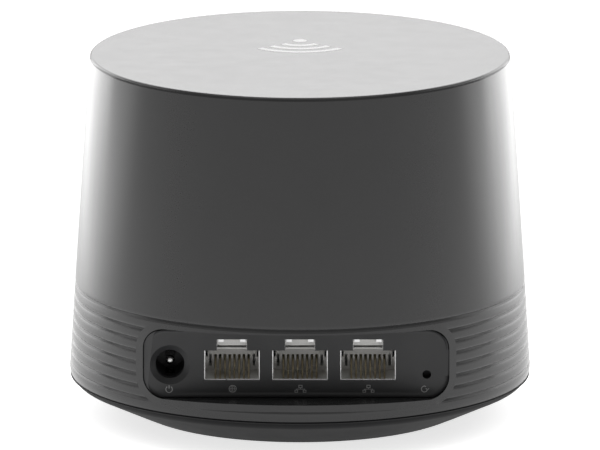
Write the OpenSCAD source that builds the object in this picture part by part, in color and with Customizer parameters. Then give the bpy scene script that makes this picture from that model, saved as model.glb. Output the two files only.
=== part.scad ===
// Mesh wifi node: a tapered round shell on a bowl-shaped base, with a
// recessed port panel at the back.
// Millimetres. Origin at the centre of the flat foot, +Z up, ports face -Y.

/* [Body] */
// Largest diameter, just above the base seam
base_d = 100; // [98:0.5:104]
// Overall height, from the rubber feet to the top
body_h = 78.4; // [76:0.2:84]
// Slope of the side wall from the vertical, in degrees
wall_taper = 3.7; // [3:0.1:4.2]
// Thickness of the shell wall
wall = 2; // [1.8:0.1:2.2]
// Radius of the upper rim
rim_r = 0.8; // [0.4:0.1:1.2]
// Height of the seam between shell and base
seam_z = 8; // [7.8:0.1:8.2]

/* [Ribbed band] */
// Number of grooves
groove_n = 8; // [4:1:8]
// Distance between grooves
groove_pitch = 2.5; // [2.4:0.05:2.5]
// Height of the uppermost groove
groove_top = 28.1; // [27.9:0.1:28.4]
// Half width of a groove
groove_hw = 0.36; // [0.3:0.02:0.42]
// Depth of a groove
groove_d = 0.26; // [0.2:0.02:0.42]
// Crown of the bands between the grooves
crown = 0.06; // [0.02:0.02:0.16]

/* [Port recess] */
// Width of the recess
win_w = 66; // [64:0.5:66.5]
// Sideways place of the middle of the recess
win_x = -0.85; // [-1.2:0.05:0]
// Height of the recess
win_h = 15.2; // [15:0.1:15.4]
// Height of the middle of the recess, at the panel
win_z = 18.4; // [18.3:0.05:18.5]
// Corner radius of the recess
win_r = 4.6; // [4:0.1:5.5]
// Upward tilt of the recess towards the outside, in degrees
win_tilt = 4.8; // [4:0.1:5.2]
// Smooth border round the recess
margin = 1.5; // [1:0.1:1.6]
// Distance of the panel face from the axis
panel_y = 37.2; // [37.1:0.05:37.3]

/* [Sockets] */
// Distance between the network sockets
port_pitch = 14.65; // [14.6:0.05:14.8]
// Width of a network socket opening
port_w = 11.95; // [11.8:0.05:12]
// Bottom of a network socket opening
port_z0 = 14.35; // [14.25:0.05:14.45]
// Top of a network socket opening
port_z1 = 21.05; // [21:0.05:21.1]
// Width of the latch notch
notch_w = 6.45; // [6.35:0.05:6.5]
// Top of the latch notch
notch_z = 23.5; // [23.4:0.05:23.6]
// Sideways place of the power socket
dc_x = -28; // [-28.1:0.1:-27.8]
// Height of the power socket and its pin
dc_z = 17.9; // [17.75:0.05:18]
// Radius of the power socket bore
dc_r = 3.1; // [3:0.05:3.15]
// Radius of the power socket pin
dc_pin_r = 1; // [0.9:0.05:1.25]

/* [Reset button] */
// Sideways place of the reset pinhole
reset_x = 27.3; // [27:0.1:27.5]
// Height of the reset pinhole
reset_z = 15.75; // [15.65:0.05:15.85]
// Radius of the reset pinhole
reset_r = 0.95; // [0.9:0.05:1]

/* [Main board] */
// Underside of the main board
board_z = 11; // [11:0.1:11.1]
// Thickness of the main board
board_t = 1.6; // [1.5:0.1:1.6]
// Radius of the main board
board_r = 44; // [43.6:0.1:44.2]

/* [Hidden] */
$fn = 96;

pcb = board_z + board_t;                  // top of the main board
shell_z0 = seam_z + 0.1;
tray_z1 = seam_z + 0.02;
k = tan(wall_taper);
function r_out(z) = base_d/2 - (z - 10)*k; // outer radius of the side wall
fil_r = 4;                                 // fillet between wall and underside
fil_c = [base_d/2 - fil_r, 9.65];
function fil(a) = [fil_c[0] + fil_r*cos(a), fil_c[1] + fil_r*sin(a)];
fil_a0 = -65;                              // the underside slopes 25 degrees
fil_as = asin((shell_z0 - fil_c[1])/fil_r);
fil_al = asin((tray_z1 - 0.22 - fil_c[1])/fil_r);
light_z = 33;
legs = [[24.5, -12], [-24.5, -12], [18.5, 20], [-18.5, 20]];
bolts = [[37, -5], [-37, -5], [0, 34]];
caps = [[36.6, 4.5], [-36.6, 4.5]];
plugs = [[34.5, 12], [30, 20], [-34.5, 12], [-38.5, -12]];
ports = [-port_pitch, 0, port_pitch];

// ---- shared shapes ----
module rr(w, h, r) {                       // rectangle with round corners
    square([w, h - 2*r], center = true);
    square([w - 2*r, h], center = true);
    for (x = [-1, 1], y = [-1, 1]) translate([x*(w/2 - r), y*(h/2 - r)]) circle(r, $fn = 48);
}
// Rounded rectangle of the recess, pushed from a to b towards the outside
module win(grow, a, b)
    translate([win_x, -panel_y, win_z]) rotate([-win_tilt, 0, 0]) rotate([90, 0, 0])
        translate([0, 0, a]) linear_extrude(b - a) rr(win_w + 2*grow, win_h + 2*grow, win_r + grow);
module box(x0, x1, y0, y1, z0, z1) translate([x0, y0, z0]) cube([x1 - x0, y1 - y0, z1 - z0]);
module turned(x, z, y0, y1, r) translate([x, y1, z]) rotate([90, 0, 0]) cylinder(r = r, h = y1 - y0);
// Opening of a network socket: cavity and latch notch
module port_hole(x, y0, y1, g = 0) {
    box(x - port_w/2 - g, x + port_w/2 + g, y0, y1, port_z0 - g, port_z1 + g);
    box(x - notch_w/2 - g, x + notch_w/2 + g, y0, y1, port_z1 - 0.5, notch_z + g);
}

// ---- outer shell ----
wall_pts = concat([for (i = [0:4]) fil(fil_as + (wall_taper - fil_as)*i/4)],
    [for (i = [0:6]) let (a = wall_taper + (90 - wall_taper)*i/6)
        [r_out(body_h - rim_r) - rim_r + rim_r*cos(a), body_h - rim_r + rim_r*sin(a)]]);
module full_solid() rotate_extrude($fn = 192) polygon(concat([[0, shell_z0]], wall_pts,
    [[34, body_h - 0.03], [0, body_h - 0.03]]));
module hollow() rotate_extrude($fn = 192) polygon([[0, shell_z0 - 1], [r_out(shell_z0) - wall - 0.5, shell_z0 - 1],
    [r_out(11) - wall, 11], [r_out(body_h - 4) - wall, body_h - 4], [r_out(body_h) - wall - 1.5, body_h - 2.2], [0, body_h - 2.2]]);
// Cutter for one groove and half of the crowned band on each side of it
module groove(i, up = 1, down = 1) {
    z = groove_top - i*groove_pitch;
    hp = groove_pitch/2;
    side = [for (j = [0:4]) let (u = j/4, dz = groove_hw + (hp - groove_hw)*u) [dz, crown*pow(1 - u, 2)]];
    upper = up > 0 ? [for (j = [4:-1:0]) [r_out(z + side[j][0]) - side[j][1], z + side[j][0]]]
                   : [[r_out(z + groove_hw + 0.5), z + groove_hw + 0.5], [r_out(z + groove_hw) - 0.04, z + groove_hw]];
    lower = down > 0 ? [for (j = [0:4]) [r_out(z - side[j][0]) - side[j][1], z - side[j][0]]]
                     : [[r_out(z - groove_hw) - 0.04, z - groove_hw], [r_out(z - groove_hw - 0.5), z - groove_hw - 0.5]];
    rotate_extrude($fn = 192) polygon(concat([[r_out(z) + 1.5, upper[0][1]]], upper,
        [[r_out(z) - groove_d, z]], lower, [[r_out(z) + 1.5, lower[len(lower) - 1][1]]]));
}
module outer_shell() color("#3c3d3f") {
    difference() {
        union() {
            difference() {
                full_solid();
                hollow();
                difference() {
                    for (i = [1:groove_n - 1]) groove(i, 1, i < groove_n - 1 ? 1 : 0);
                    win(margin, -4, 20);
                }
                groove(0, 0, 0);
            }
            intersection() {
                win(1.6, -3, 20);
                full_solid_in();
                box(-40, 40, -60, -panel_y + 1.95, 0, 60);
            }
        }
        win(0, -6, 20);
        turned(0, light_z, 40, 60, 1.1);
        for (a = [0, 90, 180]) rotate([0, 0, a - 9]) rotate_extrude(angle = 18, $fn = 96)
            polygon([[46, 9.2], [48.5, 9.2], [48.5, 10.2], [47.2, 11.2], [46, 11.2]]);
    }
}
module full_solid_in() rotate_extrude($fn = 192) polygon([[0, shell_z0], [r_out(shell_z0) - 1.2, shell_z0],
    [r_out(40) - 1.2, 40], [0, 40]]);

// ---- port panel ----
pw = win_w - 0.3;                          // outline of the panel, clear of the recess wall
ph = win_h - 0.4;
pz = win_z - 0.05;
pr = win_r - 0.15;
cove_r = 0.9;
module cove() for (m = [0, 1]) translate([win_x, 0, pz]) mirror([0, 0, m]) { // concave fillet along floor and roof
    translate([-(pw/2 - pr), -panel_y, -ph/2]) rotate([90, 0, 90]) linear_extrude(pw - 2*pr)
        polygon(concat([[0.5, 0]], [for (a = [0:15:90]) [-cove_r + cove_r*sin(a), cove_r - cove_r*cos(a)]], [[0.5, cove_r]]));
    for (s = [0, 1]) mirror([s, 0, 0]) translate([pw/2 - pr, -panel_y + 0.5, -ph/2 + pr]) rotate([90, 0, 0])
        rotate([0, 0, -90]) rotate_extrude(angle = 90, $fn = 48)
            polygon(concat([[pr - cove_r, 0], [pr, 0]],
                [for (a = [0:15:90]) [pr - cove_r + cove_r*cos(a), cove_r + 0.5 - cove_r*sin(a)]]));
}
module port_panel() color("#36373a") difference() {
    union() {
        intersection() {
            union() {
                translate([win_x, -panel_y + 2, pz]) rotate([90, 0, 0]) linear_extrude(2) rr(pw, ph, pr);
                cove();
            }
            rotate_extrude($fn = 192) polygon([[0, 5], [r_out(5) - 0.2, 5], [r_out(35) - 0.2, 35], [0, 35]]);
        }
        intersection() {
            translate([win_x, -panel_y + 3.4, win_z]) rotate([90, 0, 0]) linear_extrude(1.4) rr(win_w, win_h + 4, 3);
            translate([0, 0, 5]) cylinder(r = 47.1, h = 30, $fn = 192);
        }
    }
    for (x = ports) port_hole(x, -panel_y - 3, -panel_y + 5);
    for (x = ports) box(x - 7.05, x + 7.05, -panel_y + 0.75, -panel_y + 5, pcb - 0.1, 25.05);
    turned(dc_x, dc_z, -panel_y - 1, -panel_y + 5, dc_r + 0.05);
    translate([dc_x, -panel_y + 0.9, dc_z]) rotate([90, 0, 0]) cylinder(r1 = dc_r + 0.05, r2 = 4.6, h = 1.1);
    turned(dc_x, dc_z, -panel_y + 1.95, -panel_y + 5, 4.05);
    turned(reset_x, reset_z, -panel_y - 1, -panel_y + 5, reset_r);
}

// ---- base ----
tray_out = concat([[0, 0.6], [33.2, 0.6], [33.5, 0.25], [35.1, 0.25]],
    [for (i = [0:3]) let (r = 35.6 + (fil(fil_a0)[0] - 35.6)*i/4) [r, 0.25 + (r - 35.3)*tan(25) + (i == 0 ? 0.05 : 0)]],
    [for (i = [0:7]) fil(fil_a0 + (fil_al - fil_a0)*i/8)], [[fil(fil_al)[0] + 0.28, tray_z1 - 0.22], [fil(fil_al)[0] + 0.04, tray_z1]]);
module base_tray() color("#37383a") difference() {
    union() {
        rotate_extrude($fn = 192) polygon(concat(tray_out,
            [[47.4, tray_z1], [47.4, 11], [46.4, 11], [46.4, 8.6], [45.6, 7.4], [35, 2.4], [0, 2.4]]));
        for (p = legs) translate([p[0], p[1], 2]) cylinder(r = 4.4, h = board_z - 2);
        for (p = bolts) translate([p[0], p[1], 3]) cylinder(r = 3, h = board_z - 3);
        for (a = [0, 90, 180]) rotate([0, 0, a - 8]) rotate_extrude(angle = 16, $fn = 96)
            polygon([[46.6, 9.5], [48.1, 9.5], [48.1, 9.9], [47.1, 10.9], [46.6, 10.9]]);
    }
    box(-37, 36, -50, -33, 8.6, 12);                     // room for the recess
    for (p = legs) translate([p[0], p[1], 0]) {
        translate([0, 0, 3.2]) cylinder(r = 2.8, h = 12);
        translate([0, 0, -1]) cylinder(r = 1.5, h = 6);
        translate([0, 0, -1]) cylinder(r = 2.7, h = 3);
    }
    for (p = bolts) translate([p[0], p[1], 5]) cylinder(r = 1.15, h = 10);
    for (i = [0:35]) let (a = i*10)
        if (min([for (p = legs) let (d = abs(a - (atan2(p[1], p[0]) + 360)%360)) min(d, 360 - d)]) > 16)
            rotate([0, 0, a]) box(20.5, 29.5, -0.8, 0.8, -1, 4);
    for (p = legs) translate([p[0], p[1], -1]) cylinder(r = 5.4, h = 1.9);
}
module rubber_feet() color("#1d1d1f") for (p = legs) translate([p[0], p[1], 0]) rotate_extrude($fn = 64)
    polygon([[0, 0], [4.7, 0], [5.2, 0.4], [5.2, 0.85], [0, 0.85]]);
module screw(p, z, h, up) translate([p[0], p[1], z]) mirror([0, 0, up]) difference() {
    union() {
        rotate_extrude($fn = 48) polygon([[0, 0], [2.3, 0], [2.3, 0.5], [1.7, 1.1], [0, 1.1]]);
        translate([0, 0, -h]) cylinder(r = 1.1, h = h + 0.2, $fn = 32);
    }
    translate([0, 0, 0.5]) box(-1.2, 1.2, -0.22, 0.22, 0, 2);
    translate([0, 0, 0.5]) box(-0.22, 0.22, -1.2, 1.2, 0, 2);
}
module base_screws() color("#9a9ca0") for (p = legs) screw(p, 2, 9, 1);
module rating_label() color("#c8c8c4") translate([0, 0, 0.4]) cylinder(r = 17, h = 0.2);

// ---- main board and what it carries ----
module main_board() color("#1f5a38") difference() {
    translate([0, 0, board_z]) cylinder(r = board_r, h = board_t);
    box(-60, 60, -60, -panel_y + 3.8, 0, 40);
    for (p = legs) translate([p[0], p[1], 0]) cylinder(r = 3, h = 30);
    for (p = bolts) translate([p[0], p[1], 0]) cylinder(r = 1.5, h = 30);
}
module board_screws() color("#9a9ca0") for (p = bolts) screw(p, pcb, 6, 0);
module soc_chip() color("#2a2c30") {
    box(-9.5, 9.5, -5.5, 13.5, pcb, pcb + 0.6);
    box(-8.2, 8.2, -4.2, 12.2, pcb + 0.6, pcb + 1.6);
}
module thermal_pad() color("#8fa7c4") box(-9, 9, -5, 13, pcb + 1.6, pcb + 2.6);
module heat_sink() color("#b5b8bc") difference() {
    box(-17.5, 17.5, -10, 15.5, pcb + 2.6, pcb + 30);
    for (i = [0:8]) box(-17.5 + 1.3 + i*3.7, -17.5 + 1.3 + i*3.7 + 2.5, -12, 18, pcb + 5.6, pcb + 32);
}
module memory_chips() color("#26282b") for (x = [-8, 8]) box(x - 6.5, x + 6.5, 21, 29, pcb, pcb + 1);
module flash_chip() color("#26282b") box(-4, 4, -11.8, -5.8, pcb, pcb + 0.9);
module crystal_can() color("#c9ccd0") translate([13.5, -4, pcb]) linear_extrude(0.8) rr(3.2, 2.5, 0.5);
module radio_shield(s) color("#b9bcc0") difference() {
    translate([s*25, 5, pcb]) linear_extrude(2.3) rr(14, 20, 0.8);
    translate([s*25, 5, pcb - 1]) linear_extrude(3.1) rr(13.4, 19.4, 0.5);
    for (x = [-4, 0, 4], y = [-6, -2, 2, 6]) translate([s*25 + x, 5 + y, pcb]) cylinder(r = 0.7, h = 4, $fn = 24);
}
module radio_shield_left() radio_shield(-1);
module radio_shield_right() radio_shield(1);
module switch_chip() color("#26282b") box(26.5, 35.5, -24, -15, pcb, pcb + 0.9);
module lan_transformers() color("#303236") for (x = ports) difference() {
    box(x - 6, x + 6, -18.5, -12.5, pcb, pcb + 5);
    translate([x - 4.6, -14, pcb + 4.7]) cylinder(r = 0.5, h = 1, $fn = 24);
}
module power_inductor() color("#4b4d50") translate([-31.7, -14, pcb]) linear_extrude(4.2) rr(7, 7, 1.2);
module bulk_capacitors() color("#6d7378") for (p = caps) translate([p[0], p[1], pcb]) rotate_extrude($fn = 64)
    polygon([[0, 0], [3.9, 0], [3.9, 1], [3.6, 1.3], [3.9, 1.6], [3.9, 8.6], [3.5, 9], [0, 9]]);
module status_led() color("#e8e6d8") box(-1.5, 1.5, 40.6, 42.2, pcb, pcb + 0.9);
module light_pipe() color("#dfe8ee") {
    box(-1.5, 1.5, 40.4, 42.6, pcb + 1.1, light_z + 1.3);
    intersection() {
        turned(0, light_z, 42, 52, 1.05);
        rotate_extrude($fn = 192) polygon([[0, 20], [r_out(20), 20], [r_out(50), 50], [0, 50]]);
    }
}

// ---- antennas ----
module antenna_frame() color("#d9dadb") difference() {
    union() {
        translate([0, 0, 28.8]) cylinder(r = 38.3, h = 2.5, $fn = 128);
        translate([0, 0, 66]) cylinder(r = 38.3, h = 2.5, $fn = 128);
        for (a = [0:90:270]) rotate([0, 0, a]) {
            box(36, 38.5, -6, 6, 28.8, 68.5);
            for (z = [33, 61]) translate([38, 0, z]) rotate([0, 90, 0]) cylinder(r = 0.9, h = 1.9, $fn = 32);
        }
        for (p = legs) translate([p[0], p[1], 3.3]) cylinder(r = 2.6, h = 26.5);
    }
    translate([0, 0, 20]) cylinder(r = 24.7, h = 20, $fn = 128);
    translate([0, 0, 60]) cylinder(r = 33, h = 20, $fn = 128);
    for (p = legs) translate([p[0], p[1], 0]) cylinder(r = 1.15, h = 14);
}
module antenna(a) color("#c9a44a") rotate([0, 0, a]) difference() {
    box(38.5, 39.3, -5, 5, 31, 65);
    for (z = [33, 61]) translate([37, 0, z]) rotate([0, 90, 0]) cylinder(r = 1, h = 4, $fn = 32);
    box(38, 40, -0.6, 0.6, 40, 58);
}
module antenna_right() antenna(0);
module antenna_front() antenna(90);
module antenna_left() antenna(180);
module antenna_back() antenna(270);
module coax_plugs() color("#c9b26a") for (p = plugs) translate([p[0], p[1], pcb]) {
    cylinder(r = 1.5, h = 0.5, $fn = 32);
    cylinder(r = 1.15, h = 1.3, $fn = 32);
}
// Thin lead swept along points, with a smooth curve between them
function cr(p, t) = let (n = len(p) - 1, i = min(floor(t), n - 1), u = t - i,
    a = p[max(i - 1, 0)], b = p[i], c = p[i + 1], d = p[min(i + 2, n)])
    0.5*(2*b + (c - a)*u + (2*a - 5*b + 4*c - d)*u*u + (3*b - a - 3*c + d)*u*u*u);
module lead(p, r) {
    n = (len(p) - 1)*4;
    c = [for (i = [0:n]) cr(p, i/4)];
    t = [for (i = [0:n]) let (v = c[min(i + 1, n)] - c[max(i - 1, 0)]) v/norm(v)];
    pts = [for (i = [0:n]) let (s = cross(t[i], [0.31, 0.17, 0.2]), sx = s/norm(s), sy = cross(t[i], sx))
        for (j = [0:7]) c[i] + r*(cos(j*45)*sx + sin(j*45)*sy)];
    polyhedron(pts, concat([[for (j = [7:-1:0]) j]], [[for (j = [0:7]) n*8 + j]],
        [for (i = [0:n - 1], j = [0:7]) let (a = i*8 + j, b = i*8 + (j + 1)%8) [a, b, b + 8, a + 8]]));
}
lz = pcb + 2;
route_right = [[34.5, 12, lz], [37.6, 13.6, 17], [40.5, 10.6, 25], [41.2, 6.5, 32], [40.3, 2.6, 37]];
route_front = [[30, 20, lz], [33, 24, 19], [27, 31.5, 26], [15, 38.6, 32], [6, 40.6, 37], [3, 40.2, 40]];
route_left = [for (p = route_right) [-p[0], p[1], p[2]]];
route_back = [[-38.5, -12, lz], [-40, -14.5, 19], [-34, -24, 27], [-22, -35, 31.5], [-10, -40.2, 34.5], [-3.2, -40.3, 38]];
module coax_right() color("#2b2b2e") lead(route_right, 0.6);
module coax_front() color("#e4e4e2") lead(route_front, 0.6);
module coax_left() color("#2b2b2e") lead(route_left, 0.6);
module coax_back() color("#e4e4e2") lead(route_back, 0.6);

// ---- network sockets ----
slots = [for (i = [0:7]) (i - 3.5)*1.02];
jy = -panel_y + 0.85;                      // front face of the sockets
module rj45_housing(x) color("#8f9193") difference() {
    box(x - 6.6, x + 6.6, jy + 0.3, -20.4, pcb + 0.05, 24.6);
    box(x - port_w/2, x + port_w/2, jy - 1, -26.4, port_z0, port_z1);
    box(x - notch_w/2, x + notch_w/2, jy - 1, -27.5, port_z1 - 0.3, port_z1 + 0.15);
    box(x - notch_w/2, x + notch_w/2, jy - 1, jy + 7, port_z1 + 0.4, port_z1 + 0.8);
    box(x - notch_w/2, x + notch_w/2, jy - 1, jy + 0.75, port_z1 + 0.5, notch_z);
    for (s = slots) {
        box(x + s - 0.31, x + s + 0.31, jy - 1, -26.4, port_z0 - 0.75, port_z0 + 0.5);
        box(x + s - 0.31, x + s + 0.31, -27, -24.2, 14.9, 17.75);
    }
    for (s = [-4.7, 4.7]) box(x + s - 0.28, x + s + 0.28, -27, -22, 15.2, 17.75);
    for (s = [-5.5, 5.5]) box(x + s - 0.24, x + s + 0.24, -27, -22, 17.2, 19.2);
    for (s = [-1, 1]) box(x + s*(port_w/2 - 0.3) - 0.45, x + s*(port_w/2 - 0.3) + 0.45, jy - 1, jy + 8, 19.4, port_z1 - 0.15);
}
module rj45_shield(x) color("#c4c6c9") {
    difference() {
        box(x - 6.95, x + 6.95, jy, -20, pcb, 24.95);
        box(x - 6.68, x + 6.68, jy + 0.25, -20.25, pcb - 1, 24.7);
        box(x - port_w/2 + 0.18, x + port_w/2 - 0.18, jy - 1, jy + 1, port_z0 + 0.22, port_z1 + 0.02);
        box(x - notch_w/2 + 0.05, x + notch_w/2 - 0.05, jy - 1, jy + 1, port_z1 - 0.3, notch_z - 0.1);
        for (z = [15.4, 20.4]) box(x - 8, x + 8, -30, -26, z, z + 0.6);
    }
    for (s = [-1, 1]) box(x + s*2.35 - 0.6, x + s*2.35 + 0.6, jy, jy + 0.65, notch_z - 0.75, notch_z - 0.05);
    for (s = [-1, 1]) translate([x + s*(port_w/2 - 0.1), 0, 0]) box(-0.12, 0.12, jy + 0.1, jy + 2.2, 19.6, port_z1 - 0.35);
}
module rj45_contacts(x) color("#d8b45a") for (s = slots) translate([x + s, 0, 0])
    rotate([90, 0, 90]) translate([0, 0, -0.19]) linear_extrude(0.38)
        polygon([[jy + 0.9, 13.9], [jy + 1.1, 13.7], [jy + 2.2, 13.95], [-26, 16.75], [-24.6, 17.15], [-24.6, 17.45],
            [-26.2, 17.1], [jy + 2.1, 14.35]]);
module rj45_shield_left() rj45_shield(ports[0]);
module rj45_shield_centre() rj45_shield(ports[1]);
module rj45_shield_right() rj45_shield(ports[2]);
module rj45_housing_left() rj45_housing(ports[0]);
module rj45_housing_centre() rj45_housing(ports[1]);
module rj45_housing_right() rj45_housing(ports[2]);
module rj45_contacts_left() rj45_contacts(ports[0]);
module rj45_contacts_centre() rj45_contacts(ports[1]);
module rj45_contacts_right() rj45_contacts(ports[2]);

// ---- power socket ----
module dc_jack_body() color("#17181a") difference() {
    union() {
        intersection() {
            box(dc_x - 4.5, dc_x + 4.5, -33.7, -20.2, pcb, 23.2);
            cylinder(r = 47, h = 60, $fn = 128);
        }
        intersection() {
            turned(dc_x, dc_z, -panel_y + 2.1, -33, 3.95);
            cylinder(r = 47, h = 60, $fn = 128);
        }
    }
    turned(dc_x, dc_z, -panel_y - 2, -25.5, dc_r);
    turned(dc_x, dc_z, -26, -18, 1.1);
    box(dc_x - 1, dc_x + 1, -32, -26.5, dc_z - 5, dc_z - 2);
}
module dc_jack_pin() color("#d6d7d9") {
    turned(dc_x, dc_z, -32.3, -20, dc_pin_r);
    translate([dc_x, -32.3, dc_z]) rotate([90, 0, 0]) rotate_extrude($fn = 48)
        polygon(concat([[0, -0.1], [dc_pin_r, -0.1]], [for (a = [0:15:75]) [dc_pin_r*cos(a), 0.8*sin(a)]], [[0, 0.8]]));
    turned(dc_x, dc_z, -20.1, -19.3, 2);
}
module dc_jack_spring() color("#c9ccd0") translate([dc_x - 0.8, 0, 0]) rotate([90, 0, 90]) linear_extrude(1.6)
    polygon([[-31.8, dc_z - 3.6], [-31.5, dc_z - 3.8], [-29.5, dc_z - 2.8], [-27, dc_z - 3.6], [-26.7, dc_z - 3.4], [-29.5, dc_z - 2.5]]);

// ---- reset switch ----
module reset_switch_body() color("#2c2d30") difference() {
    box(reset_x - 3, reset_x + 3, -32.8, -29.2, pcb, pcb + 5);
    turned(reset_x, reset_z, -36, -30.8, 1.25);
}
module reset_switch_button() color("#e6e6e2") turned(reset_x, reset_z, -33.6, -31.15, 1.2);

outer_shell();
port_panel();
base_tray();
rubber_feet();
base_screws();
rating_label();
main_board();
board_screws();
antenna_frame();
heat_sink();
thermal_pad();
soc_chip();
memory_chips();
flash_chip();
crystal_can();
radio_shield_left();
radio_shield_right();
switch_chip();
lan_transformers();
power_inductor();
bulk_capacitors();
rj45_shield_left();
rj45_shield_centre();
rj45_shield_right();
rj45_housing_left();
rj45_housing_centre();
rj45_housing_right();
rj45_contacts_left();
rj45_contacts_centre();
rj45_contacts_right();
dc_jack_body();
dc_jack_pin();
dc_jack_spring();
reset_switch_body();
reset_switch_button();
antenna_front();
antenna_back();
antenna_left();
antenna_right();
coax_front();
coax_back();
coax_left();
coax_right();
coax_plugs();
status_led();
light_pipe();
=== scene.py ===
import math
import bpy
import bmesh
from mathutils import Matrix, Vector


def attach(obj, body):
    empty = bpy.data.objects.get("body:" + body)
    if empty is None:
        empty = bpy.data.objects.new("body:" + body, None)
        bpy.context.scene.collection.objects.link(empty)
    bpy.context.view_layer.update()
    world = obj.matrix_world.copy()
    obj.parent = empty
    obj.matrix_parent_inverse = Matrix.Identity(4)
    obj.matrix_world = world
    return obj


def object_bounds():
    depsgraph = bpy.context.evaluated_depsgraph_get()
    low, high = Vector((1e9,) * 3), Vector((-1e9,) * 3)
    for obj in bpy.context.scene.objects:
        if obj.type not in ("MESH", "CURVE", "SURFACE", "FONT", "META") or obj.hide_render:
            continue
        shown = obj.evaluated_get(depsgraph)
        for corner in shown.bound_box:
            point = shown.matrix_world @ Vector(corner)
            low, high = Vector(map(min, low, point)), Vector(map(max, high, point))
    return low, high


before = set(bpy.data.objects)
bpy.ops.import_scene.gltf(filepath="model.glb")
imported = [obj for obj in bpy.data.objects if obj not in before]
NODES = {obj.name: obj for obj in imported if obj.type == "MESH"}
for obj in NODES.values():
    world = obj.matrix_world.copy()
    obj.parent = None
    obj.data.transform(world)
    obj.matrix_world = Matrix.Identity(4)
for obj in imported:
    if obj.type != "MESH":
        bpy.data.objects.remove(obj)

MM = 0.001
lo0, hi0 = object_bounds()
scene = bpy.context.scene
scene.view_settings.view_transform = "Standard"
scene.view_settings.look = "None"
scene.view_settings.exposure = 0.0
scene.view_settings.gamma = 1.0


# ------------------------------------------------------------------ materials
class Mat:
    """Small helper to build node materials."""

    def __init__(self, name, base=(0.5, 0.5, 0.5), rough=0.5, metal=0.0, spec=0.5, **sockets):
        self.m = bpy.data.materials.new(name)
        self.m.use_nodes = True
        self.t = self.m.node_tree
        self.b = self.t.nodes["Principled BSDF"]
        self.set("Base Color", (*base, 1.0))
        self.set("Roughness", rough)
        self.set("Metallic", metal)
        self.set("Specular IOR Level", spec)
        for k, v in sockets.items():
            self.set(k.replace("_", " "), v)
        self.base, self.rough = base, rough
        self.co = self.node("ShaderNodeTexCoord").outputs["Object"]
        self.normal = None

    def set(self, socket, value):
        self.b.inputs[socket].default_value = value

    def node(self, kind, **props):
        n = self.t.nodes.new(kind)
        for k, v in props.items():
            setattr(n, k, v)
        return n

    def link(self, a, b):
        self.t.links.new(a, b)

    def mapping(self, scale=(1, 1, 1), rot=(0, 0, 0), co=None):
        n = self.node("ShaderNodeMapping")
        n.inputs["Scale"].default_value = scale
        n.inputs["Rotation"].default_value = rot
        self.link(co or self.co, n.inputs["Vector"])
        return n.outputs["Vector"]

    def noise(self, scale, detail=3.0, rough=0.5, co=None, distort=0.0):
        n = self.node("ShaderNodeTexNoise")
        n.inputs["Scale"].default_value = scale
        n.inputs["Detail"].default_value = detail
        n.inputs["Roughness"].default_value = rough
        n.inputs["Distortion"].default_value = distort
        self.link(co or self.co, n.inputs["Vector"])
        return n.outputs["Fac"]

    def voronoi(self, scale, feature="F1", co=None, out="Distance"):
        n = self.node("ShaderNodeTexVoronoi", feature=feature)
        n.inputs["Scale"].default_value = scale
        self.link(co or self.co, n.inputs["Vector"])
        return n.outputs[out]

    def remap(self, value, a, b, c, d, clamp=True):
        n = self.node("ShaderNodeMapRange", clamp=clamp)
        for i, v in enumerate((a, b, c, d)):
            n.inputs[i + 1].default_value = v
        self.link(value, n.inputs[0])
        return n.outputs[0]

    def math(self, op, a, b=0.0):
        n = self.node("ShaderNodeMath", operation=op)
        for i, v in enumerate((a, b)):
            if isinstance(v, (int, float)):
                n.inputs[i].default_value = v
            else:
                self.link(v, n.inputs[i])
        return n.outputs[0]

    def ramp(self, value, stops):
        n = self.node("ShaderNodeValToRGB")
        e = n.color_ramp.elements
        while len(e) < len(stops):
            e.new(0.5)
        for i, (p, c) in enumerate(stops):
            e[i].position = p
            e[i].color = (*c, 1.0)
        self.link(value, n.inputs["Fac"])
        return n.outputs["Color"]

    def mix(self, fac, a, b):
        n = self.node("ShaderNodeMix", data_type="RGBA")
        for sock, v in ((n.inputs["Factor"], fac), (n.inputs[6], a), (n.inputs[7], b)):
            if isinstance(v, (int, float)):
                sock.default_value = v
            elif isinstance(v, tuple):
                sock.default_value = (*v, 1.0)
            else:
                self.link(v, sock)
        return n.outputs[2]

    def bump(self, height, strength, distance):
        n = self.node("ShaderNodeBump")
        n.inputs["Strength"].default_value = strength
        n.inputs["Distance"].default_value = distance
        self.link(height, n.inputs["Height"])
        if self.normal is not None:
            self.link(self.normal, n.inputs["Normal"])
        self.normal = n.outputs["Normal"]
        self.link(self.normal, self.b.inputs["Normal"])
        return self

    def colour(self, out):
        self.link(out, self.b.inputs["Base Color"])
        return self

    def roughness(self, out):
        self.link(out, self.b.inputs["Roughness"])
        return self


def shade(c, k):
    return tuple(min(1.0, x * k) for x in c)


def moulded(name, base, rough, grain=2600.0, grain_h=0.00001, grain_s=0.25, blotch=45.0, var=0.10, spec=0.5, rvar=0.035, speck=0.0, **kw):
    """Moulded plastic: eroded-mould grain, faint flow clouds, slightly uneven gloss."""
    m = Mat(name, base, rough, 0.0, spec, **kw)
    clouds = m.noise(blotch, 4.0, 0.55)
    fine = m.noise(grain, 2.0, 0.6)
    col = m.mix(m.remap(clouds, 0.3, 0.7, 0.0, 1.0), shade(base, 1 - var), shade(base, 1 + var))
    col = m.mix(m.remap(fine, 0.35, 0.75, 0.0, 0.35), col, shade(base, 1.35))
    if speck:
        dust = m.remap(m.voronoi(900.0), 0.0, 0.06, speck, 0.0)
        col = m.mix(dust, col, shade(base, 2.4))
    m.colour(col)
    m.roughness(m.remap(m.noise(blotch * 3, 3.0), 0.3, 0.7, rough - rvar, rough + rvar))
    pits = m.voronoi(grain * 0.8, "SMOOTH_F1")
    m.bump(m.math("ADD", fine, m.math("MULTIPLY", pits, 0.6)), grain_s, grain_h)
    return m.m


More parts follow.
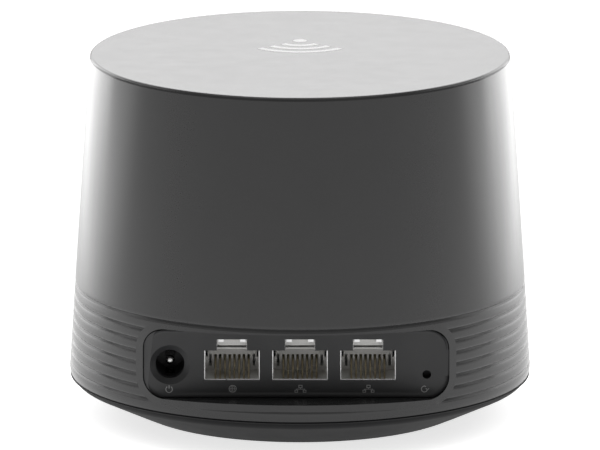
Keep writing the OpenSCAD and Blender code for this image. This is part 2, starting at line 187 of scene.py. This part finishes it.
def sheet_metal(name, base, rough, stretch=(1, 1, 14), scale=900.0, var=0.12, aniso=0.0):
    m = Mat(name, base, rough, 1.0, 0.5)
    lines = m.noise(scale, 3.0, 0.6, co=m.mapping(stretch))
    stain = m.noise(180.0, 4.0, 0.6)
    m.colour(m.mix(m.remap(stain, 0.3, 0.75, 0.0, 1.0), shade(base, 1 + var * 0.5), shade(base, 1 - var)))
    m.roughness(m.remap(lines, 0.3, 0.7, rough - 0.06, rough + 0.1))
    m.bump(lines, 0.18, 0.000015)
    return m.m


SHELL = (0.0146, 0.0147, 0.0151)
m_shell = moulded("shell_plastic", SHELL, 0.21, grain=2400, grain_s=0.5, blotch=70.0, var=0.05, rvar=0.01)
m_panel = moulded("panel_plastic", (0.0125, 0.0128, 0.0136), 0.46, grain=2200, grain_s=0.35, rvar=0.04)
m_base = moulded("base_plastic", (0.0085, 0.0086, 0.009), 0.58, grain=2600, grain_s=0.3, rvar=0.02, spec=0.1)
m_foot = moulded("foot_rubber", (0.012, 0.012, 0.0125), 0.78, grain=1500, grain_s=0.5, spec=0.3)
m_frame = moulded("frame_plastic", (0.55, 0.55, 0.54), 0.5, grain=1800, var=0.05)
m_dc = moulded("dc_plastic", (0.008, 0.008, 0.009), 0.42, grain=2000)
m_switch = moulded("switch_plastic", (0.02, 0.02, 0.022), 0.5, grain=2500)
m_button = moulded("button_plastic", (0.012, 0.012, 0.013), 0.5, grain=2500, var=0.05)
m_housing = moulded("jack_housing", (0.62, 0.615, 0.6), 0.42, grain=2500, var=0.06)
m_transformer = moulded("transformer_epoxy", (0.022, 0.022, 0.025), 0.55, grain=1600, grain_s=0.5)
m_ferrite = moulded("inductor_ferrite", (0.06, 0.06, 0.065), 0.6, grain=1200, grain_s=0.8)

m_can = sheet_metal("can_metal", (0.62, 0.62, 0.63), 0.32)
m_shield = sheet_metal("jack_shield", (0.68, 0.68, 0.68), 0.30, (1, 6, 1))
m_screw = sheet_metal("screw_steel", (0.55, 0.56, 0.58), 0.28)
m_pin = sheet_metal("pin_metal", (0.6, 0.6, 0.59), 0.2, (1, 9, 1))
m_sink = sheet_metal("sink_aluminium", (0.6, 0.61, 0.63), 0.38, (8, 1, 8))
m_gold = sheet_metal("jack_contact", (0.56, 0.48, 0.33), 0.3, (1, 6, 1))
m_plug = sheet_metal("plug_gold", (0.75, 0.57, 0.28), 0.26)


def board_material():
    m = Mat("board_laminate", (0.01, 0.09, 0.045), 0.28, 0.0, 0.5, Coat_Weight=0.3)
    grid = m.node("ShaderNodeTexBrick")
    grid.inputs["Scale"].default_value = 260.0
    grid.inputs["Mortar Size"].default_value = 0.02
    m.link(m.mapping((1, 1, 0.0)), grid.inputs["Vector"])
    tracks = m.remap(grid.outputs["Fac"], 0.0, 1.0, 0.0, 0.6)
    vias = m.remap(m.voronoi(420.0), 0.06, 0.1, 1.0, 0.0)
    col = m.mix(tracks, (0.010, 0.085, 0.042), (0.02, 0.16, 0.075))
    col = m.mix(m.remap(m.noise(300, 2.0), 0.4, 0.6, 0.0, 0.35), col, (0.006, 0.06, 0.03))
    m.colour(m.mix(vias, col, (0.55, 0.5, 0.32)))
    m.bump(grid.outputs["Fac"], 0.3, 0.00003)
    return m.m


def chip_material(name, base):
    m = Mat(name, base, 0.5)
    grain = m.noise(3500, 3.0)
    m.colour(m.mix(m.remap(grain, 0.35, 0.65, 0, 1), shade(base, 0.8), shade(base, 1.3)))
    m.roughness(m.remap(m.noise(400, 2.0), 0.3, 0.7, 0.42, 0.6))
    m.bump(grain, 0.4, 0.00002)
    return m.m


def coax_material(name, base):
    m = Mat(name, base, 0.34)
    n = m.noise(900, 2.0)
    m.colour(m.mix(m.remap(n, 0.3, 0.7, 0, 1), shade(base, 0.88), shade(base, 1.08)))
    m.bump(m.noise(2400, 2.0), 0.2, 0.00001)
    return m.m


def antenna_material():
    m = Mat("antenna_copper", (0.7, 0.42, 0.22), 0.35, 0.0)
    stripes = m.node("ShaderNodeTexWave", wave_type="BANDS", bands_direction="Z")
    stripes.inputs["Scale"].default_value = 95.0
    stripes.inputs["Distortion"].default_value = 0.0
    m.link(m.co, stripes.inputs["Vector"])
    metal = m.remap(stripes.outputs["Fac"], 0.35, 0.4, 0.0, 1.0)
    m.colour(m.mix(metal, (0.012, 0.09, 0.05), (0.72, 0.44, 0.23)))
    m.link(metal, m.b.inputs["Metallic"])
    m.bump(metal, 0.4, 0.00003)
    return m.m


def label_material():
    m = Mat("label_film", (0.5, 0.5, 0.49), 0.4)
    fibre = m.noise(1600, 3.0, co=m.mapping((1, 4, 1)))
    m.colour(m.mix(m.remap(fibre, 0.3, 0.7, 0, 1), (0.44, 0.44, 0.43), (0.54, 0.54, 0.53)))
    m.bump(fibre, 0.15, 0.00001)
    return m.m


def capacitor_material():
    m = Mat("cap_sleeve", (0.16, 0.18, 0.2), 0.3)
    sep = m.node("ShaderNodeSeparateXYZ")
    m.link(m.co, sep.inputs[0])
    top = m.remap(sep.outputs["Z"], 0.02105, 0.0212, 0.0, 1.0)
    m.colour(m.mix(top, (0.02, 0.025, 0.035), (0.62, 0.63, 0.65)))
    m.link(top, m.b.inputs["Metallic"])
    m.bump(m.noise(1500, 2.0), 0.15, 0.00001)
    return m.m


def led_material():
    m = Mat("led_resin", (0.75, 0.73, 0.6), 0.2, Subsurface_Weight=0.0)
    m.colour(m.mix(m.remap(m.noise(900, 2.0), 0.3, 0.7, 0, 1), (0.7, 0.68, 0.55), (0.82, 0.8, 0.68)))
    m.bump(m.noise(1800, 2.0), 0.1, 0.00001)
    return m.m


def pipe_material():
    m = Mat("pipe_clear", (0.78, 0.83, 0.86), 0.18, Transmission_Weight=0.55, IOR=1.49)
    m.colour(m.mix(m.remap(m.noise(500, 2.0), 0.3, 0.7, 0, 1), (0.72, 0.78, 0.82), (0.84, 0.88, 0.9)))
    m.bump(m.noise(1500, 2.0), 0.1, 0.00001)
    return m.m


def pad_material():
    m = Mat("pad_silicone", (0.28, 0.4, 0.58), 0.7)
    m.colour(m.mix(m.remap(m.noise(1200, 3.0), 0.3, 0.7, 0, 1), (0.24, 0.35, 0.52), (0.33, 0.46, 0.64)))
    m.bump(m.noise(1500, 3.0), 0.4, 0.00003)
    return m.m


def print_material(name, base):
    """Pad-printed ink with slightly worn, uneven cover."""
    m = Mat(name, base, 0.55)
    n = m.noise(2600, 3.0, 0.6)
    m.colour(m.mix(m.remap(n, 0.3, 0.7, 0, 1), shade(base, 0.82), shade(base, 1.1)))
    m.roughness(m.remap(n, 0.3, 0.7, 0.5, 0.62))
    m.bump(n, 0.2, 0.000008)
    return m.m


m_board = board_material()
m_chip = chip_material("chip_epoxy", (0.02, 0.02, 0.023))
m_lid = sheet_metal("chip_lid", (0.45, 0.46, 0.48), 0.4)
m_coax_dark = coax_material("coax_dark", (0.02, 0.02, 0.022))
m_coax_light = coax_material("coax_light", (0.7, 0.7, 0.67))
m_antenna = antenna_material()
m_label = label_material()
m_cap = capacitor_material()
m_led = led_material()
m_pipe = pipe_material()
m_pad = pad_material()
m_ink = print_material("panel_ink", (0.27, 0.27, 0.27))
m_mark = print_material("top_ink", (0.86, 0.86, 0.86))

ASSIGN = {
    "outer_shell": m_shell, "port_panel": m_panel, "base_tray": m_base, "rubber_feet": m_foot,
    "base_screws": m_screw, "rating_label": m_label, "main_board": m_board, "board_screws": m_screw,
    "antenna_frame": m_frame, "heat_sink": m_sink, "thermal_pad": m_pad, "soc_chip": m_lid,
    "memory_chips": m_chip, "flash_chip": m_chip, "crystal_can": m_can, "radio_shield_left": m_can,
    "radio_shield_right": m_can, "switch_chip": m_chip, "lan_transformers": m_transformer,
    "power_inductor": m_ferrite, "bulk_capacitors": m_cap, "dc_jack_body": m_dc, "dc_jack_pin": m_pin,
    "dc_jack_spring": m_pin, "reset_switch_body": m_switch, "reset_switch_button": m_button,
    "coax_front": m_coax_light, "coax_back": m_coax_light, "coax_left": m_coax_dark, "coax_right": m_coax_dark,
    "coax_plugs": m_plug, "status_led": m_led, "light_pipe": m_pipe,
}
for side in ("left", "centre", "right"):
    ASSIGN["rj45_shield_" + side] = m_shield
    ASSIGN["rj45_housing_" + side] = m_housing
    ASSIGN["rj45_contacts_" + side] = m_gold
for side in ("front", "back", "left", "right"):
    ASSIGN["antenna_" + side] = m_antenna
for name, mat in ASSIGN.items():
    obj = NODES[name]
    obj.data.materials.clear()
    obj.data.materials.append(mat)


# ------------------------------------------------------------------ small pieces made here
def new_piece(name, bm, mat, body="housing"):
    me = bpy.data.meshes.new(name)
    bm.normal_update()
    bm.to_mesh(me)
    bm.free()
    ob = bpy.data.objects.new(name, me)
    scene.collection.objects.link(ob)
    me.materials.append(mat)
    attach(ob, body)
    return ob


def stroke_outline(pts, w, closed):
    """Left and right offset points of a polyline, mitred."""
    n = len(pts)
    left, right = [], []
    for i in range(n):
        p = Vector(pts[i])
        a = Vector(pts[i - 1]) if (i > 0 or closed) else None
        b = Vector(pts[(i + 1) % n]) if (i < n - 1 or closed) else None
        d1 = (p - a).normalized() if a is not None else (b - p).normalized()
        d2 = (b - p).normalized() if b is not None else d1
        t = (d1 + d2).normalized()
        nrm = Vector((-t.y, t.x))
        k = w / 2 / max(0.35, nrm.dot(Vector((-d1.y, d1.x))))
        left.append(p + nrm * k)
        right.append(p - nrm * k)
    return left, right


def add_stroke(bm, pts, w, place, h, closed=False):
    """A flat raised stroke along 2D points. place(u, v, t) gives the 3D point."""
    left, right = stroke_outline(pts, w, closed)
    n = len(pts)
    rows = []
    for i in range(n):
        rows.append([bm.verts.new(place(q.x, q.y, t)) for q, t in
                     ((left[i], 0.0), (left[i], h), (right[i], h), (right[i], 0.0))])
    for i in range(n if closed else n - 1):
        a, b = rows[i], rows[(i + 1) % n]
        for j in range(4):
            k = (j + 1) % 4
            bm.faces.new((a[j], a[k], b[k], b[j]))
    if not closed:
        bm.faces.new(rows[0][::-1])
        bm.faces.new(rows[-1])


def add_disc(bm, cx, cy, r, place, h, n=24):
    low = [bm.verts.new(place(cx + r * math.cos(2 * math.pi * i / n), cy + r * math.sin(2 * math.pi * i / n), 0.0)) for i in range(n)]
    top = [bm.verts.new(place(cx + r * math.cos(2 * math.pi * i / n), cy + r * math.sin(2 * math.pi * i / n), h)) for i in range(n)]
    bm.faces.new(top)
    bm.faces.new(low[::-1])
    for i in range(n):
        j = (i + 1) % n
        bm.faces.new((low[i], low[j], top[j], top[i]))


def arc(cx, cy, r, a0, a1, n=20):
    return [(cx + r * math.cos(math.radians(a0 + (a1 - a0) * i / n)), cy + r * math.sin(math.radians(a0 + (a1 - a0) * i / n))) for i in range(n + 1)]


def finish_bm(bm):
    bmesh.ops.recalc_face_normals(bm, faces=bm.faces)


PANEL_Y = -37.2


def panel_place(x0, z0):
    return lambda u, v, t: Vector(((x0 + u * ICON_K) * MM, (PANEL_Y - t + 0.01) * MM, (z0 + v * ICON_K) * MM))


INK_H = 0.03
ICON_K = 1.25
ICON_Z = 12.6


def power_icon():
    bm = bmesh.new()
    pl = panel_place(-28.2, ICON_Z - 0.05)
    add_stroke(bm, arc(0, -0.05, 0.56, 125, 415, 26), 0.15, pl, INK_H)
    add_stroke(bm, [(0, 0.08), (0, 0.66)], 0.15, pl, INK_H)
    finish_bm(bm)
    return new_piece("icon_power", bm, m_ink)


def globe_icon():
    bm = bmesh.new()
    pl = panel_place(-14.5, ICON_Z)
    r = 0.62
    add_stroke(bm, arc(0, 0, r, 0, 360, 32)[:-1], 0.12, pl, INK_H, closed=True)
    add_stroke(bm, [(-r, 0), (r, 0)], 0.1, pl, INK_H)
    add_stroke(bm, [(0, -r), (0, r)], 0.1, pl, INK_H)
    for s in (-1, 1):
        add_stroke(bm, [(s * 0.3 * math.cos(math.radians(a)), r * math.sin(math.radians(a))) for a in range(-90, 91, 15)], 0.09, pl, INK_H)
    finish_bm(bm)
    return new_piece("icon_globe", bm, m_ink)


def net_icon(name, x):
    bm = bmesh.new()
    pl = panel_place(x, ICON_Z)
    add_stroke(bm, [(-0.28, 0.2), (0.28, 0.2), (0.28, 0.62), (-0.28, 0.62)], 0.11, pl, INK_H, closed=True)
    add_stroke(bm, [(0, 0.15), (0, -0.08)], 0.1, pl, INK_H)
    add_stroke(bm, [(-0.72, -0.22), (-0.72, -0.06), (0.72, -0.06), (0.72, -0.22)], 0.1, pl, INK_H)
    for s in (-1, 1):
        add_stroke(bm, [(s * 0.72 - 0.24, -0.6), (s * 0.72 + 0.24, -0.6), (s * 0.72 + 0.24, -0.24), (s * 0.72 - 0.24, -0.24)], 0.11, pl, INK_H, closed=True)
    finish_bm(bm)
    return new_piece(name, bm, m_ink)


def reset_icon():
    bm = bmesh.new()
    pl = panel_place(26.8, ICON_Z - 0.05)
    add_stroke(bm, arc(0, 0, 0.52, 60, 360, 26), 0.13, pl, INK_H)
    add_stroke(bm, [(0.52 - 0.28, 0.1), (0.54, -0.16), (0.52 + 0.26, 0.12)], 0.12, pl, INK_H)
    finish_bm(bm)
    return new_piece("icon_reset", bm, m_ink)


power_icon()
globe_icon()
net_icon("icon_net_a", 0.1)
net_icon("icon_net_b", 14.75)
reset_icon()


def top_mark():
    """A plain wireless sign printed in the shallow dish of the lid, read from the front of the device."""
    z = hi0.z / MM - 0.04
    pl = lambda u, v, t: Vector((-u * MM, (8.0 - v) * MM, (z + t) * MM))
    bm = bmesh.new()
    add_disc(bm, 0, -5.6, 1.5, pl, 0.035)
    for r in (4.9, 8.3, 11.7):
        add_stroke(bm, arc(0, -5.6, r, 42, 138, 32), 1.6, pl, 0.035)
    finish_bm(bm)
    return new_piece("top_sign", bm, m_mark)


top_mark()

# ------------------------------------------------------------------ stage
bm = bmesh.new()
R = 3.0
n = 48
ring = [bm.verts.new((R * math.cos(2 * math.pi * i / n), R * math.sin(2 * math.pi * i / n), 0.0)) for i in range(n)]
bm.faces.new(ring)
me = bpy.data.meshes.new("floor")
bm.to_mesh(me)
bm.free()
floor = bpy.data.objects.new("floor", me)
scene.collection.objects.link(floor)
# The floor glows: its emission is painted light. It is an even 0.72 in front, which whitens the object's contact
# shadow. Behind the object it is dimmer straight back and brighter towards both back sides, which lights the
# shell's side edges.
fm = Mat("floor_light_table_glow", (0.86, 0.86, 0.86), 0.9, 0.0, 0.2, Emission_Color=(1, 1, 1, 1), Emission_Strength=0.8)
fm.colour(fm.mix(fm.remap(fm.noise(30, 3.0), 0.3, 0.7, 0, 1), (0.85, 0.85, 0.85), (0.87, 0.87, 0.87)))
fsep = fm.node("ShaderNodeSeparateXYZ")                # a light table, brighter towards the back
fm.link(fm.co, fsep.inputs[0])
fback = fm.remap(fsep.outputs["Y"], 0.03, 0.13, 0.0, 1.0)
fside = fm.remap(fm.math("ABSOLUTE", fsep.outputs["X"]), 0.09, 0.17, 0.15, 1.0)
fm.link(fm.math("ADD", fm.math("MULTIPLY", fback, fm.math("SUBTRACT", fm.math("MULTIPLY", fside, 1.9), 0.85)), 0.72), fm.b.inputs["Emission Strength"])
me.materials.append(fm.m)

# ------------------------------------------------------------------ light
world = bpy.data.worlds.new("studio")
scene.world = world
world.use_nodes = True
wt = world.node_tree
bg = wt.nodes["Background"]
bg.inputs["Color"].default_value = (1.0, 0.992, 0.985, 1)
bg.inputs["Strength"].default_value = 0.42


def softbox(name, loc, target, size, radiance, size_y=None):
    data = bpy.data.lights.new(name, "AREA")
    data.shape = "RECTANGLE"
    data.size = size
    data.size_y = size_y or size
    data.energy = radiance * math.pi * data.size * data.size_y
    ob = bpy.data.objects.new(name, data)
    scene.collection.objects.link(ob)
    ob.location = loc
    ob.rotation_euler = (Vector(target) - Vector(loc)).to_track_quat("-Z", "Y").to_euler()
    ob.visible_camera = False
    return ob


def around(az, dist, z):
    """Azimuth from the camera side (-Y), positive to +X."""
    a = math.radians(az)
    return (dist * math.sin(a), -dist * math.cos(a), z)


softbox("back", around(180, 0.5, 0.32), (0, 0, 0.2), 0.7, 1.85, 0.4)
softbox("back_left", around(-136, 0.4, 0.15), (0, 0, 0.08), 0.26, 2.1, 0.3)
softbox("back_right", around(133, 0.4, 0.15), (0, 0, 0.08), 0.28, 1.9, 0.3)
softbox("high_left", around(-112, 0.55, 0.45), (0, 0, 0.03), 0.36, 1.0)
softbox("high_right", around(112, 0.55, 0.45), (0, 0, 0.03), 0.36, 1.0)
softbox("overhead", (0, 0.1, 0.8), (0, 0, 0), 0.6, 0.9)

# ------------------------------------------------------------------ camera
cam = bpy.data.cameras.new("camera")
cam.sensor_width = 36.0
ELEV = math.radians(12.65)
DIST = 4.0
cam.lens = 36.0 * DIST / 0.1302
cam.dof.use_dof = False
cam_ob = bpy.data.objects.new("camera", cam)
scene.collection.objects.link(cam_ob)
aim = Vector((0.0, 0.0, 0.0404))
cam_ob.location = aim + Vector((0.0, -math.cos(ELEV), math.sin(ELEV))) * DIST
cam_ob.rotation_euler = (aim - cam_ob.location).to_track_quat("-Z", "Y").to_euler()
scene.camera = cam_ob
